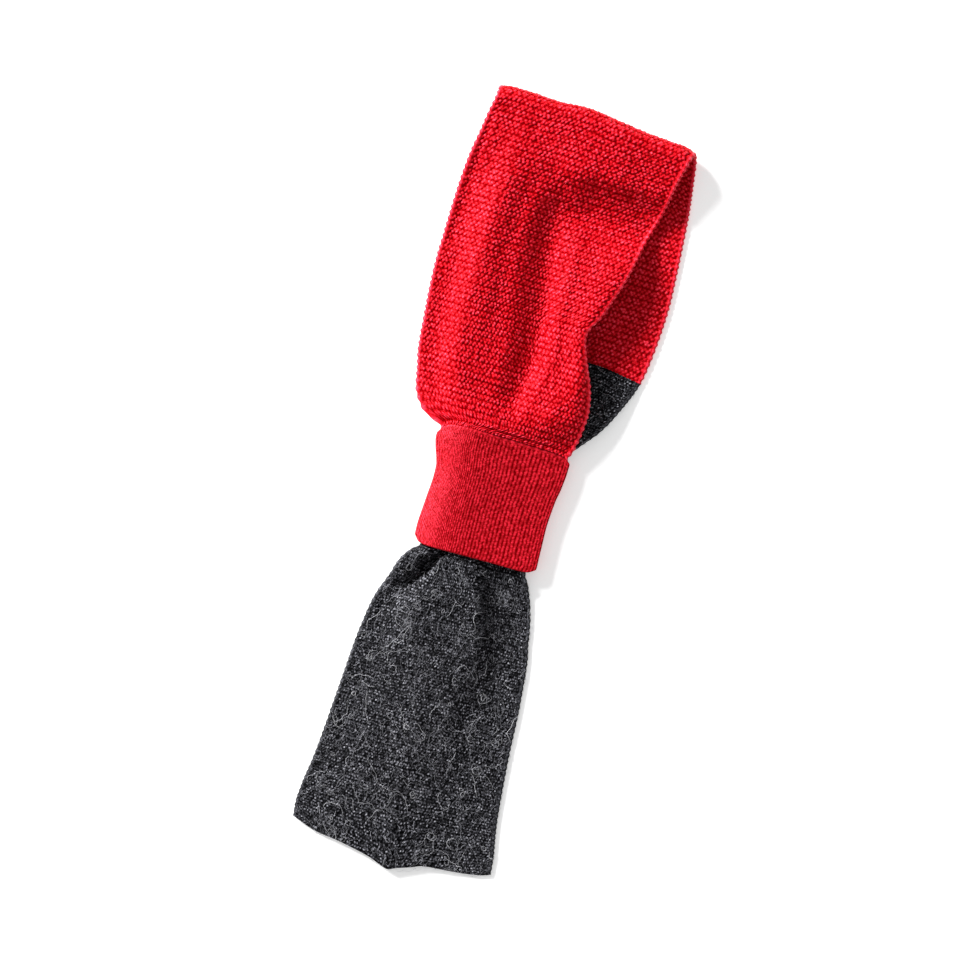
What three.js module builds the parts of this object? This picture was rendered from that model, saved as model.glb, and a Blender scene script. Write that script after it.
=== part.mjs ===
// Pull-through knit scarf laid flat: one garter-stitch strip and a doubled 1x1 rib cuff.
// The strip starts at the cuff's upper edge, runs up the front, rolls over at the top, comes down
// underneath, passes through the cuff from behind and spreads out below it as the tail.
// Millimetres, +Y along the scarf towards the roll, +X across it, +Z up from the table.
import * as THREE from "three";

// Driving dimensions
const WALL = 3; // thickness of the garter fabric
const CUFF_WALL = 3; // thickness of the doubled rib
const SEAM_GAP = 0.3; // between two pieces that are joined
const RIM_GAP = 0.6; // between the front and the curved rim of the cuff
const SLACK = 0.5; // between the cuff and the strip that passes through it
const EDGE_ROUND = 1.6; // over which a selvedge is rounded
const EDGE_THIN = 0.35; // share of the wall that is left at the very edge
const CENTRE = { x: -0.75, y: -5.5 }; // middle of the laid scarf in the frame of the tables below

const LAID = WALL / 2; // height of the wall's middle where it lies on the table
const SEAM_Y = 30.5; // where the front is joined to the cuff
const ROLL_Y = 249; // where the front begins to roll over
const COLOUR_Y = 95; // where the strip changes colour underneath
const INSIDE_Y = -12; // middle of the cuff, where the band underneath becomes the tail
const HEM_Y = -262;

const RED = 0xc11b26;
const CHARCOAL = 0x353438;

// Plan outlines: x of the left and right edge at y
const FRONT_OUTLINE = [
  { y: 30.5, left: -46, right: 42 },
  { y: 33, left: -50, right: 43.8 },
  { y: 36, left: -56.5, right: 44.7 },
  { y: 40, left: -62.7, right: 45.5 },
  { y: 45, left: -67.7, right: 46.5 },
  { y: 50, left: -70.2, right: 47 },
  { y: 60, left: -72.5, right: 47.5 },
  { y: 70, left: -75, right: 46 },
  { y: 80, left: -76.5, right: 43 },
  { y: 90, left: -77.5, right: 38.5 },
  { y: 100, left: -78.5, right: 34.3 },
  { y: 110, left: -79.5, right: 31.2 },
  { y: 117, left: -80, right: 32.2 },
  { y: 125, left: -80.6, right: 36.8 },
  { y: 135, left: -81, right: 40.2 },
  { y: 150, left: -81, right: 45 },
  { y: 165, left: -81, right: 48.5 },
  { y: 185, left: -80.7, right: 52.5 },
  { y: 200, left: -80, right: 56.5 },
  { y: 212, left: -78.8, right: 58.6 },
  { y: 225, left: -76.8, right: 60 },
  { y: 237, left: -75.3, right: 61.8 },
  { y: 249, left: -73.2, right: 64.3 },
];
const BACK_OUTLINE = [
  { y: -12, left: -36.8, right: 37.8 },
  { y: 10, left: -37, right: 38.5 },
  { y: 30, left: -37.5, right: 40 },
  { y: 35, left: -40, right: 45 },
  { y: 40, left: -43, right: 49 },
  { y: 50, left: -48, right: 57 },
  { y: 60, left: -52, right: 63 },
  { y: 70, left: -55, right: 67.5 },
  { y: 80, left: -57, right: 71 },
  { y: 90, left: -59, right: 74 },
  { y: 100, left: -60, right: 76.5 },
  { y: 120, left: -60.7, right: 78.8 },
  { y: 145, left: -61.3, right: 79.5 },
  { y: 170, left: -62.8, right: 78 },
  { y: 200, left: -65.5, right: 75.5 },
  { y: 225, left: -69, right: 73 },
  { y: 249, left: -72, right: 70 },
];
const TAIL_OUTLINE = [
  { y: -262, left: -66.8, right: 72.4 },
  { y: -250, left: -68, right: 71.2 },
  { y: -240, left: -67.6, right: 69.6 },
  { y: -230, left: -67, right: 68 },
  { y: -210, left: -64.8, right: 65.3 },
  { y: -190, left: -63.5, right: 63.2 },
  { y: -170, left: -62.5, right: 61.3 },
  { y: -150, left: -61.5, right: 60 },
  { y: -130, left: -60.5, right: 58 },
  { y: -110, left: -58.5, right: 55.5 },
  { y: -100, left: -57, right: 53 },
  { y: -92, left: -55, right: 51.5 },
  { y: -85, left: -52.5, right: 50 },
  { y: -78, left: -50, right: 48 },
  { y: -72, left: -48.5, right: 46 },
  { y: -66, left: -46, right: 43.5 },
  { y: -60, left: -42, right: 40.8 },
  { y: -54, left: -36.3, right: 37.2 },
  { y: -40, left: -36.2, right: 37.2 },
  { y: -12, left: -36.8, right: 37.8 },
];
const CUFF_OUTLINE = [
  { y: -54, left: -41.3, right: 42.4 },
  { y: -49, left: -42, right: 43.4 },
  { y: -40, left: -42.4, right: 43 },
  { y: -30, left: -42, right: 42.5 },
  { y: -20, left: -41.5, right: 42 },
  { y: -10, left: -41, right: 42.3 },
  { y: 0, left: -41.5, right: 43 },
  { y: 6, left: -43.3, right: 44 },
  { y: 12, left: -45.5, right: 44.6 },
  { y: 18, left: -47, right: 45 },
  { y: 24, left: -47, right: 45 },
  { y: 31, left: -47, right: 45 },
];

// Edges that run across: their y at a share of the width, 0 at the left edge and 1 at the right
const ROLL_EDGE = [
  { u: 0, y: 257.5 },
  { u: 0.06, y: 259.3 },
  { u: 0.2, y: 259.2 },
  { u: 0.3, y: 258.6 },
  { u: 0.44, y: 260 },
  { u: 0.6, y: 257.5 },
  { u: 0.75, y: 255 },
  { u: 0.87, y: 254 },
  { u: 0.95, y: 253.2 },
  { u: 1, y: 250.5 },
];
const COLOUR_EDGE = [
  { u: 0, y: 95 },
  { u: 0.7, y: 95 },
  { u: 0.82, y: 94.6 },
  { u: 0.9, y: 93 },
  { u: 1, y: 91 },
];
const HEM_EDGE = [
  { u: 0, y: -254.5 },
  { u: 0.05, y: -257 },
  { u: 0.12, y: -260 },
  { u: 0.26, y: -262.5 },
  { u: 0.41, y: -266.5 },
  { u: 0.48, y: -270 },
  { u: 0.515, y: -271 },
  { u: 0.545, y: -269 },
  { u: 0.62, y: -265.3 },
  { u: 0.67, y: -262.5 },
  { u: 0.84, y: -260 },
  { u: 0.95, y: -257.5 },
  { u: 1, y: -255 },
];
const CUFF_TOP_EDGE = [
  { u: 0, y: 22 },
  { u: 0.05, y: 27 },
  { u: 0.14, y: 29.4 },
  { u: 0.28, y: 30 },
  { u: 0.5, y: 30.5 },
  { u: 0.72, y: 30.5 },
  { u: 0.95, y: 29.5 },
  { u: 1, y: 26 },
];
const CUFF_LOW_EDGE = [
  { u: 0, y: -49.5 },
  { u: 0.05, y: -53.2 },
  { u: 0.25, y: -54 },
  { u: 0.75, y: -53 },
  { u: 0.95, y: -52.3 },
  { u: 1, y: -49.5 },
];
const CUFF_BEHIND = 0.4; // share of those curves that the cuff's hidden back edge follows

// The front's large folds: height of the wall's middle at the edges, and place and height of the
// left ridge, of the valley that runs down the middle and of the right ridge
const FRONT_FOLDS = [
  { y: 30, edgeL: 9.5, ridgeLx: -25, ridgeL: 16.5, valleyX: -5, valley: 16.5, ridgeRx: 20, ridgeR: 16.5, edgeR: 10 },
  { y: 38, edgeL: 8.5, ridgeLx: -32, ridgeL: 16.3, valleyX: -6, valley: 15.6, ridgeRx: 21, ridgeR: 17, edgeR: 11 },
  { y: 50, edgeL: 7, ridgeLx: -40, ridgeL: 15.5, valleyX: -8, valley: 13.5, ridgeRx: 23, ridgeR: 17, edgeR: 10.5 },
  { y: 70, edgeL: 5.5, ridgeLx: -44, ridgeL: 15, valleyX: -5, valley: 10, ridgeRx: 24, ridgeR: 17, edgeR: 10 },
  { y: 90, edgeL: 5, ridgeLx: -45, ridgeL: 14.5, valleyX: -3, valley: 8, ridgeRx: 21, ridgeR: 18.5, edgeR: 10.5 },
  { y: 112, edgeL: 5, ridgeLx: -45, ridgeL: 14.5, valleyX: -5, valley: 7, ridgeRx: 18, ridgeR: 20, edgeR: 11 },
  { y: 140, edgeL: 5, ridgeLx: -45, ridgeL: 14.5, valleyX: -9, valley: 7, ridgeRx: 26, ridgeR: 17, edgeR: 12.5 },
  { y: 165, edgeL: 5.5, ridgeLx: -45, ridgeL: 14.5, valleyX: -12, valley: 7.5, ridgeRx: 28, ridgeR: 13.5, edgeR: 12 },
  { y: 187, edgeL: 6.5, ridgeLx: -45, ridgeL: 14.5, valleyX: -12, valley: 8.5, ridgeRx: 30, ridgeR: 10.5, edgeR: 10.5 },
  { y: 205, edgeL: 8, ridgeLx: -45, ridgeL: 14.5, valleyX: -8, valley: 11, ridgeRx: 35, ridgeR: 12, edgeR: 11.5 },
  { y: 225, edgeL: 10.5, ridgeLx: -45, ridgeL: 15, valleyX: -5, valley: 14.5, ridgeRx: 40, ridgeR: 15.5, edgeR: 15 },
  { y: 249, edgeL: 15, ridgeLx: -45, ridgeL: 16.5, valleyX: -5, valley: 17, ridgeRx: 40, ridgeR: 17.5, edgeR: 17.5 },
];

// Gathers, from -1 at the lowest room they have to 1 at the highest. The band's are as it enters
// the cuff from behind, the tail's are as it leaves the cuff and spreads.
const BAND_GATHERS = [
  { u: 0, lift: -0.3 },
  { u: 0.22, lift: 0.9 },
  { u: 0.45, lift: -0.9 },
  { u: 0.72, lift: 0.9 },
  { u: 1, lift: -0.4 },
];
const TAIL_GATHERS = [
  { y: -262, edgeL: -1, foldU: 0.05, fold: -1, ridgeU: 0.12, ridge: -1, roofU: 0.49, roof: 1, dipU: 0.8, dip: -1, crestU: 0.88, crest: -0.9, edgeR: -1 },
  { y: -160, edgeL: -1, foldU: 0.05, fold: -1, ridgeU: 0.12, ridge: -0.9, roofU: 0.5, roof: 1, dipU: 0.8, dip: -1, crestU: 0.88, crest: -0.6, edgeR: -1 },
  { y: -130, edgeL: -0.8, foldU: 0.05, fold: -1, ridgeU: 0.12, ridge: 0, roofU: 0.5, roof: 0.6, dipU: 0.8, dip: -1, crestU: 0.88, crest: 0, edgeR: -1 },
  { y: -100, edgeL: -0.5, foldU: 0.05, fold: -1, ridgeU: 0.14, ridge: 1, roofU: 0.48, roof: 0.4, dipU: 0.78, dip: -1, crestU: 0.87, crest: 0.3, edgeR: -0.8 },
  { y: -75, edgeL: 0.3, foldU: 0.07, fold: -1, ridgeU: 0.2, ridge: 1, roofU: 0.47, roof: 0.7, dipU: 0.76, dip: -0.9, crestU: 0.89, crest: 0.5, edgeR: -0.5 },
  { y: -54, edgeL: 0.5, foldU: 0.13, fold: -1, ridgeU: 0.29, ridge: 1, roofU: 0.47, roof: 0.8, dipU: 0.76, dip: -0.8, crestU: 0.92, crest: 0.4, edgeR: -0.2 },
];
// The room that the tail has below the cuff: lowest and highest the wall's middle gets
const TAIL_ROOM = [
  { y: -262, low: LAID, high: 2.4 },
  { y: -200, low: LAID, high: 2.5 },
  { y: -150, low: LAID, high: 3.1 },
  { y: -120, low: LAID, high: 4.6 },
  { y: -95, low: LAID, high: 7.2 },
  { y: -75, low: 2.4, high: 10.3 },
  { y: -54, low: 5, high: 13 },
];

// Cuff section: a flattened tube that rests on a flat strip of its back
const CUFF_HIGH_TOP = 19;
const CUFF_HIGH_LOW = 18;
const CUFF_SIDE_Z = 8.5; // height of its two sides
const CUFF_PRESSED = 0.5; // how far its round back is pressed flat
const CUFF_ROUND_TOP = 2.5; // exponents of the two half sections, 2 being an ellipse
const CUFF_ROUND_LOW = 3.2;
const RIBS = 50; // knit ribs round the cuff, 3.8 mm apart
const RIB_DEPTH = 0.7;
const FOLD_ROUND = 1.5; // roundness of the cuff's folded lower edge

const clamp01 = (t) => Math.min(1, Math.max(0, t));
const ease = (t) => clamp01(t) ** 2 * (3 - 2 * clamp01(t));
const mix = (a, b, t) => a + (b - a) * t;

// Numbers from `from` to `to` in `count` equal steps
function spread(from, to, count) {
  return Array.from({ length: count + 1 }, (_, i) => mix(from, to, i / count));
}

// Smooth curve through the rows of a table: column `key` where column `along` has the value `at`
function look(rows, along, key, at) {
  const last = rows.length - 1;
  if (at <= rows[0][along]) return rows[0][key];
  if (at >= rows[last][along]) return rows[last][key];
  const i = rows.findIndex((row) => row[along] > at) - 1;
  const step = rows[i + 1][along] - rows[i][along];
  const rise = (j) => {
    const a = rows[Math.max(j - 1, 0)];
    const b = rows[Math.min(j + 1, last)];
    return (b[key] - a[key]) / (b[along] - a[along]);
  };
  const t = (at - rows[i][along]) / step;
  const from = rows[i][key] * (1 + 2 * t) * (1 - t) ** 2 + rise(i) * step * t * (1 - t) ** 2;
  return from + rows[i + 1][key] * t * t * (3 - 2 * t) - rise(i + 1) * step * t * t * (1 - t);
}

// Height across a folded wall: waves through [x, height] knots, rounded off towards the two edges
function fold(knots, x) {
  const last = knots.length - 1;
  if (x <= knots[0][0]) return knots[0][1];
  if (x >= knots[last][0]) return knots[last][1];
  const i = knots.findIndex((knot) => knot[0] > x) - 1;
  const [x0, z0] = knots[i];
  const [x1, z1] = knots[i + 1];
  const t = (x - x0) / (x1 - x0);
  if (i === 0) return mix(z1, z0, (1 - t) ** 2);
  if (i === last - 1) return mix(z0, z1, t * t);
  return mix(z0, z1, (1 - Math.cos(Math.PI * t)) / 2);
}

// The cuff's outside at `turn` round it (0 at the right side, pi at the left) and `along` it
// (0 at its lower edge, 1 at its upper one), and the outward direction there
function cuffOutside(turn, along) {
  const c = Math.cos(turn);
  const s = Math.sin(turn);
  const round = s >= 0 ? CUFF_ROUND_TOP : CUFF_ROUND_LOW;
  const share = (1 + Math.sign(c) * Math.abs(c) ** (2 / round)) / 2;
  const top = look(CUFF_TOP_EDGE, "u", "y", share);
  const low = look(CUFF_LOW_EDGE, "u", "y", share);
  const topSide = mix(CUFF_TOP_EDGE[0].y, CUFF_TOP_EDGE.at(-1).y, share);
  const behind = s >= 0 ? 1 : mix(1, CUFF_BEHIND, ease(-2 * s));
  const y = mix(mix(CUFF_LOW_EDGE[0].y, low, behind), mix(topSide, top, behind), along);
  const left = look(CUFF_OUTLINE, "y", "left", y);
  const right = look(CUFF_OUTLINE, "y", "right", y);
  const high = mix(CUFF_HIGH_LOW, CUFF_HIGH_TOP, along);
  const reach = s >= 0 ? high - CUFF_SIDE_Z : CUFF_SIDE_Z + CUFF_PRESSED;
  const z = CUFF_SIDE_Z + reach * Math.sign(s) * Math.abs(s) ** (2 / round);
  return new THREE.Vector3(mix(left, right, share), y, Math.max(0, z));
}

// A point of the cuff's wall, `depth` below its outside, in the plane of its section
function cuffPoint(turn, along, depth) {
  const step = 0.01;
  const before = cuffOutside(turn - step, along);
  const after = cuffOutside(turn + step, along);
  const out = new THREE.Vector3(after.z - before.z, 0, before.x - after.x).normalize();
  return cuffOutside(turn, along).addScaledVector(out, -depth);
}

// Turns that part the cuff's outside into `count` equal lengths between two turns
function equalTurns(from, to, count) {
  const turns = spread(from, to, 720);
  const runs = [0];
  for (let i = 1; i < turns.length; i++) {
    const a = cuffOutside(turns[i - 1], 0.5);
    runs.push(runs[i - 1] + a.distanceTo(cuffOutside(turns[i], 0.5)));
  }
  return spread(0, runs.at(-1), count).map((run) => {
    const i = Math.max(1, runs.findIndex((r) => r >= run - 1e-9));
    return mix(turns[i - 1], turns[i], (run - runs[i - 1]) / (runs[i] - runs[i - 1]));
  });
}

// Half the wall's thickness at a distance from a free edge, as a share of the full one
function edgeShare(distance) {
  const t = 1 - Math.min(distance, EDGE_ROUND) / EDGE_ROUND;
  return Math.sqrt(1 - t * t * (1 - EDGE_THIN ** 2));
}

// The front panel's middle surface from the cuff to the roll
const FRONT_SIDES = 0.22; // how far short of the cuff's sides the seam stops, in radians
const SEAM_BLEND = 24; // length over which the panel takes the cuff's form
const SEAM_PINCH = 7; // length over which it is drawn in to the cuff's width
const ROLL_BLEND = 49; // length over which the roll's slant fades out
const seamTurns = equalTurns(Math.PI - FRONT_SIDES, FRONT_SIDES, 100);

function frontMid(u, y) {
  const left = look(FRONT_OUTLINE, "y", "left", y);
  const right = look(FRONT_OUTLINE, "y", "right", y);
  const x = mix(left, right, u);
  const row = (key) => look(FRONT_FOLDS, "y", key, y);
  const knots = [
    [left, row("edgeL")],
    [row("ridgeLx"), row("ridgeL")],
    [row("valleyX"), row("valley")],
    [row("ridgeRx"), row("ridgeR")],
    [right, row("edgeR")],
  ];
  const z = fold(knots, x);
  const slant = rollCentre(u) - ROLL_Y;
  const free = new THREE.Vector3(x, y + slant * ease((y - ROLL_Y + ROLL_BLEND) / ROLL_BLEND), z);
  const near = ease((SEAM_Y + SEAM_BLEND - y) / SEAM_BLEND);
  if (near === 0) return free;
  const i = Math.min(Math.floor(u * 100), 99);
  const seam = cuffPoint(mix(seamTurns[i], seamTurns[i + 1], u * 100 - i), 1, WALL / 2);
  seam.y += y - SEAM_Y + RIM_GAP;
  const pinched = mix(free.x, seam.x, ease((SEAM_Y + SEAM_PINCH - y) / SEAM_PINCH));
  return free.lerp(seam, near).setX(pinched);
}

// Height of the front as it starts to roll, and the roll's centre line in plan
function rollHeight(u) {
  const row = FRONT_FOLDS.at(-1);
  const side = FRONT_OUTLINE.at(-1);
  const knots = [
    [side.left, row.edgeL],
    [row.ridgeLx, row.ridgeL],
    [row.valleyX, row.valley],
    [row.ridgeRx, row.ridgeR],
    [side.right, row.edgeR],
  ];
  return fold(knots, mix(side.left, side.right, u));
}
function rollRadius(u) {
  return (rollHeight(u) - LAID) / 2;
}
function rollCentre(u) {
  return look(ROLL_EDGE, "u", "y", u) - rollRadius(u) - WALL / 2;
}

// The roll's middle surface: `turn` is 0 on top and pi underneath
function rollMid(u, turn) {
  const top = FRONT_OUTLINE.at(-1);
  const under = BACK_OUTLINE.at(-1);
  const x = mix(mix(top.left, top.right, u), mix(under.left, under.right, u), turn / Math.PI);
  const radius = rollRadius(u);
  const y = rollCentre(u) + radius * Math.sin(turn);
  return new THREE.Vector3(x, y, LAID + radius * (1 + Math.cos(turn)));
}

// The room inside the cuff for the middle of the strip: lowest and highest at x
function cuffRoom(x, y) {
  const left = look(CUFF_OUTLINE, "y", "left", y);
  const right = look(CUFF_OUTLINE, "y", "right", y);
  const half = (right - left) / 2 - CUFF_WALL - SLACK;
  const off = Math.min(1, Math.abs(x - (left + right) / 2) / half);
  const inset = CUFF_WALL + SLACK + WALL / 2;
  const up = (1 - off ** CUFF_ROUND_TOP) ** (1 / CUFF_ROUND_TOP);
  const down = (1 - off ** CUFF_ROUND_LOW) ** (1 / CUFF_ROUND_LOW);
  return {
    low: CUFF_SIDE_Z - (CUFF_SIDE_Z - inset) * down,
    high: CUFF_SIDE_Z + (CUFF_HIGH_LOW - CUFF_SIDE_Z - inset) * up,
  };
}

function bandLift(u) {
  return fold(BAND_GATHERS.map((row) => [row.u, row.lift]), u);
}
function tailLift(u, y) {
  const row = (key) => look(TAIL_GATHERS, "y", key, y);
  const knots = [
    [0, row("edgeL")],
    [row("foldU"), row("fold")],
    [row("ridgeU"), row("ridge")],
    [row("roofU"), row("roof")],
    [row("dipU"), row("dip")],
    [row("crestU"), row("crest")],
    [1, row("edgeR")],
  ];
  return fold(knots, u);
}

// The band underneath: flat on the table, then gathered and lifted into the cuff
const GATHER_FROM = 100; // where the gathers begin
const MOUTH_Y = 33; // where they have their full height
const BAND_TURNS = { from: 8, to: -34 }; // inside the cuff, where its gathers become the tail's

function backMid(u, y) {
  const left = look(BACK_OUTLINE, "y", "left", y);
  const right = look(BACK_OUTLINE, "y", "right", y);
  const x = mix(left, right, u);
  const slant = (rollCentre(u) - ROLL_Y) * ease((y - ROLL_Y + ROLL_BLEND) / ROLL_BLEND);
  const cut = look(COLOUR_EDGE, "u", "y", u) - COLOUR_Y;
  const shift = slant + cut * ease(1 - Math.abs(y - COLOUR_Y) / 30);
  const room = cuffRoom(x, Math.min(y, MOUTH_Y));
  const turned = ease((BAND_TURNS.from - y) / (BAND_TURNS.from - BAND_TURNS.to));
  const lift = mix(bandLift(u), tailLift(u, TAIL_ROOM.at(-1).y), turned);
  const inside = mix(room.low, room.high, (1 + lift) / 2);
  const z = mix(LAID, inside, ease((GATHER_FROM - y) / (GATHER_FROM - MOUTH_Y)));
  return new THREE.Vector3(x, y + shift, Math.max(LAID, z));
}

// The tail: gathered in the cuff, spreading and coming down to the table below it
const TAIL_OPENS = 12; // length over which it leaves the cuff's round room
const HEM_BLEND = 50;

function tailMid(u, y) {
  const x = mix(look(TAIL_OUTLINE, "y", "left", y), look(TAIL_OUTLINE, "y", "right", y), u);
  const mouth = TAIL_ROOM.at(-1).y;
  const room = cuffRoom(x, Math.max(y, mouth));
  const open = ease((mouth - y) / TAIL_OPENS);
  const low = mix(room.low, look(TAIL_ROOM, "y", "low", y), open);
  const high = mix(room.high, look(TAIL_ROOM, "y", "high", y), open);
  const turned = ease((BAND_TURNS.from - y) / (BAND_TURNS.from - BAND_TURNS.to));
  const lift = mix(bandLift(u), tailLift(u, Math.min(y, mouth)), turned);
  const hem = look(HEM_EDGE, "u", "y", u) - HEM_Y;
  const shift = hem * ease((HEM_Y + HEM_BLEND - y) / HEM_BLEND);
  return new THREE.Vector3(x, y + shift, Math.max(LAID, mix(low, high, (1 + lift) / 2)));
}

// A cloth wall from its middle surface mid(u, v): points moved out along the normal to both sides.
// `rows` are the values of v; `hem` is a free end at the last row, `seam` a cut square to y at the
// first. Its shared vertices make one closed surface.
function clothWall(mid, rows, columns, { hem = false, seam = false } = {}) {
  const across = [0, 0.006, 0.014, ...spread(0.03, 0.97, columns), 0.986, 0.994, 1];
  const small = 1e-3;
  const positions = [];
  const end = rows.length - 1;
  const tip = mid(0.5, rows[end]);
  rows.forEach((v, r) => {
    const width = mid(0, v).distanceTo(mid(1, v));
    const fromHem = hem ? mid(0.5, v).distanceTo(tip) : EDGE_ROUND;
    for (const u of across) {
      const u0 = Math.max(0, u - small);
      const u1 = Math.min(1, u + small);
      const step = (rows[end] - rows[0]) * small;
      const along = mid(u, v + step).sub(mid(u, v - step));
      const out = mid(u1, v).sub(mid(u0, v)).cross(along);
      if (seam && r === 0) out.y = 0;
      const side = edgeShare(Math.min(u, 1 - u) * width);
      out.setLength((WALL / 2) * side * edgeShare(fromHem));
      const at = mid(u, v);
      positions.push(...at.clone().add(out), ...at.sub(out));
    }
  });
  const outer = (r, c) => 2 * (r * across.length + c);
  const inner = (r, c) => outer(r, c) + 1;
  const index = [];
  const quad = (a, b, c, d) => index.push(a, b, c, a, c, d);
  const edge = across.length - 1;
  for (let r = 0; r < end; r++) {
    for (let c = 0; c < edge; c++) {
      quad(outer(r, c), outer(r, c + 1), outer(r + 1, c + 1), outer(r + 1, c));
      quad(inner(r, c), inner(r + 1, c), inner(r + 1, c + 1), inner(r, c + 1));
    }
    quad(inner(r, 0), outer(r, 0), outer(r + 1, 0), inner(r + 1, 0));
    quad(inner(r, edge), inner(r + 1, edge), outer(r + 1, edge), outer(r, edge));
  }
  for (let c = 0; c < edge; c++) {
    quad(inner(0, c), inner(0, c + 1), outer(0, c + 1), outer(0, c));
    quad(inner(end, c), outer(end, c), outer(end, c + 1), inner(end, c + 1));
  }
  return surface(positions, index);
}

// The doubled rib tube: a closed loop of wall profile carried round the section, with the ribs
// raised in its outer points wherever it doesn't rest on the table
function ribCuff() {
  const perRib = 3;
  const turns = equalTurns(0, 2 * Math.PI, RIBS * perRib).slice(0, -1);
  const profile = [
    { along: 1, rise: 0, depth: CUFF_WALL },
    { along: 1, rise: 0, depth: 0.3 },
    { along: 1, rise: -1.2, depth: 0 },
    ...[0.8, 0.55, 0.28].map((along) => ({ along, rise: 0, depth: 0 })),
    { along: 0, rise: FOLD_ROUND, depth: 0 },
    { along: 0, rise: FOLD_ROUND * 0.3, depth: CUFF_WALL * 0.15 },
    { along: 0, rise: 0, depth: CUFF_WALL / 2 },
    { along: 0, rise: FOLD_ROUND * 0.3, depth: CUFF_WALL * 0.85 },
    { along: 0, rise: FOLD_ROUND, depth: CUFF_WALL },
    { along: 0.5, rise: 0, depth: CUFF_WALL },
  ];
  const positions = [];
  for (const { along, rise, depth } of profile) {
    turns.forEach((turn, j) => {
      const outside = cuffOutside(turn, along);
      const lifted = clamp01(outside.z - 1);
      const groove = j % perRib === 0 && depth < CUFF_WALL / 2 ? RIB_DEPTH * lifted : 0;
      const at = cuffPoint(turn, along, depth + groove);
      positions.push(at.x, at.y + rise, at.z);
    });
  }
  const index = [];
  const count = turns.length;
  profile.forEach((_, k) => {
    const next = (k + 1) % profile.length;
    for (let j = 0; j < count; j++) {
      const j1 = (j + 1) % count;
      index.push(k * count + j, k * count + j1, next * count + j1);
      index.push(k * count + j, next * count + j1, next * count + j);
    }
  });
  return surface(positions, index);
}

function surface(positions, index) {
  const geometry = new THREE.BufferGeometry();
  geometry.setAttribute("position", new THREE.Float32BufferAttribute(positions, 3));
  geometry.setIndex(index);
  geometry.computeVertexNormals();
  return geometry;
}

const knit = (color, roughness) =>
  new THREE.MeshStandardMaterial({ color, roughness, metalness: 0, side: THREE.FrontSide });
const redGarter = knit(RED, 0.9);
const charcoalGarter = knit(CHARCOAL, 0.95);
const redRib = knit(RED, 0.85);

const scarf = new THREE.Group();
scarf.name = "knit_scarf";
scarf.position.set(-CENTRE.x, -CENTRE.y, 0);

function piece(name, geometry, material) {
  const mesh = new THREE.Mesh(geometry, material);
  mesh.name = name;
  scarf.add(mesh);
}

// The front panel and the upper half of the roll share one wall: v is y up to the roll, then the
// run round it
const ROLL_RUN = 7.6; // mean radius of the roll
const halfGap = SEAM_GAP / 2;
const rollTurn = (v) => (v - ROLL_Y) / ROLL_RUN;
const frontRows = [
  SEAM_Y,
  32.5,
  35,
  38,
  42,
  47,
  ...spread(53, ROLL_Y, 25),
  ...spread(ROLL_Y + 3, ROLL_Y + (ROLL_RUN * Math.PI) / 2 - halfGap, 3),
];
const frontPath = (u, v) => (v <= ROLL_Y ? frontMid(u, v) : rollMid(u, rollTurn(v)));
piece("front_band_red", clothWall(frontPath, frontRows, 17, { seam: true }), redGarter);

// Underneath, v runs back from the roll: ROLL_Y at the roll's end, larger round the roll
const underTurn = (v) => Math.PI + (ROLL_Y - v) / ROLL_RUN;
const backRedRows = [
  ...spread(ROLL_Y + (ROLL_RUN * Math.PI) / 2 - halfGap, ROLL_Y + 3, 3),
  ...spread(ROLL_Y, COLOUR_Y + halfGap, 10),
];
const backPath = (u, v) => (v < ROLL_Y ? backMid(u, v) : rollMid(u, underTurn(v)));
piece("back_band_red", clothWall(backPath, backRedRows, 14), redGarter);

const backCharcoalRows = spread(COLOUR_Y - halfGap, INSIDE_Y + halfGap, 16);
piece("back_band_charcoal", clothWall(backMid, backCharcoalRows, 17), charcoalGarter);

const tailRows = [
  ...spread(INSIDE_Y - halfGap, -52, 4),
  ...spread(-57, -107, 9),
  ...spread(-117, HEM_Y + 4, 12),
  HEM_Y + EDGE_ROUND,
  HEM_Y + EDGE_ROUND / 2.5,
  HEM_Y,
];
piece("tail_charcoal", clothWall(tailMid, tailRows, 18, { hem: true }), charcoalGarter);

piece("rib_cuff", ribCuff(), redRib);

export default scarf;
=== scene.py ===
"""Knit pull-through scarf, laid flat: garter strip in red and charcoal melange, and a red rib cuff.

Lengths in the tables are millimetres in the frame in which the laid scarf was measured: +Y along the
scarf towards its fold, +X across it, +Z up from the table. CENTRE moves them to the part's frame.
"""
import math

import bpy
import numpy as np
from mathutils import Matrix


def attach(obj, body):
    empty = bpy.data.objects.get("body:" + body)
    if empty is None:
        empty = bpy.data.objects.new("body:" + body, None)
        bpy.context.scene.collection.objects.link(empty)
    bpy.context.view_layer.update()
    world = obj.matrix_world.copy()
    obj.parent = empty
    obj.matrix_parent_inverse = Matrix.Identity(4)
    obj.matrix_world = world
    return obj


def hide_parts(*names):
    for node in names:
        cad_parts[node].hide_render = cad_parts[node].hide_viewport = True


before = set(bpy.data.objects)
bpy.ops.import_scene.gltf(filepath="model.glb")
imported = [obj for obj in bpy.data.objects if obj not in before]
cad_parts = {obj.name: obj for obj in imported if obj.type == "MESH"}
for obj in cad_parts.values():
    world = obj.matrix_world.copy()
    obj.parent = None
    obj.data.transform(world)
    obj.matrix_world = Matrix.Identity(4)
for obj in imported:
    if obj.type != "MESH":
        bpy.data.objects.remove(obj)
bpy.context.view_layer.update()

MM = 0.001
CENTRE = (-0.75, -5.5)  # middle of the laid scarf in the frame of the tables
WALL = 3.0  # thickness of the garter fabric
LAID = WALL / 2  # height of its middle where it lies on the table
WIDTH = 140.0  # knitted width of the strip
WALES = 45  # stitches across it
WALE = WIDTH / WALES  # width of a stitch
RIDGE = 4.15  # from one garter ridge to the next
COLUMNS = WALES * 5  # grid steps across the strip, 5 to a stitch
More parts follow.
